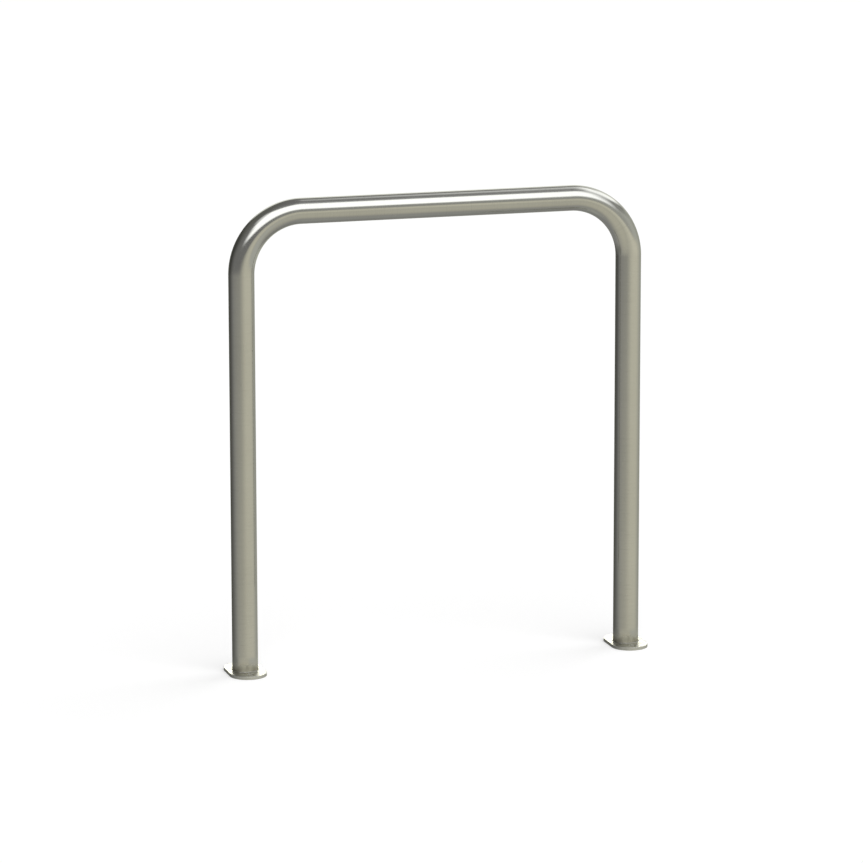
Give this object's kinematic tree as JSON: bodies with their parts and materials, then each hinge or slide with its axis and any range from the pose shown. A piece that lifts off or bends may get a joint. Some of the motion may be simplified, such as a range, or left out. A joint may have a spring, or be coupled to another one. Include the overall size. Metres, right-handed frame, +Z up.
{
  "type": "hoop bike rack",
  "caption": "Bike parking hoop bent from one round satin stainless steel tube, its legs welded to obround base plates with anchor holes for bolting to the ground.",
  "frame": {"origin": "on the ground, midway between the two legs, in the plane of the hoop", "axes": "+X along the hoop's width from the left leg to the right, +Y through the hoop, away from a person who faces it, +Z up"},
  "size_m": [0.822, 0.114, 0.893],
  "materials": {
    "satin_tube": "satin, with a fine grain running round the tube",
    "satin_plate": "satin, with a straight grain along the plate and deburred edges",
    "weld_metal": "dressed to a hollow face and brushed, with faint ripples left"
  },
  "bodies": {
    "root": {"hoop_tube": "satin_tube", "base_plate_left": "satin_plate", "base_plate_right": "satin_plate", "foot_weld_left": "weld_metal", "foot_weld_right": "weld_metal"}
  },
  "joints": []
}
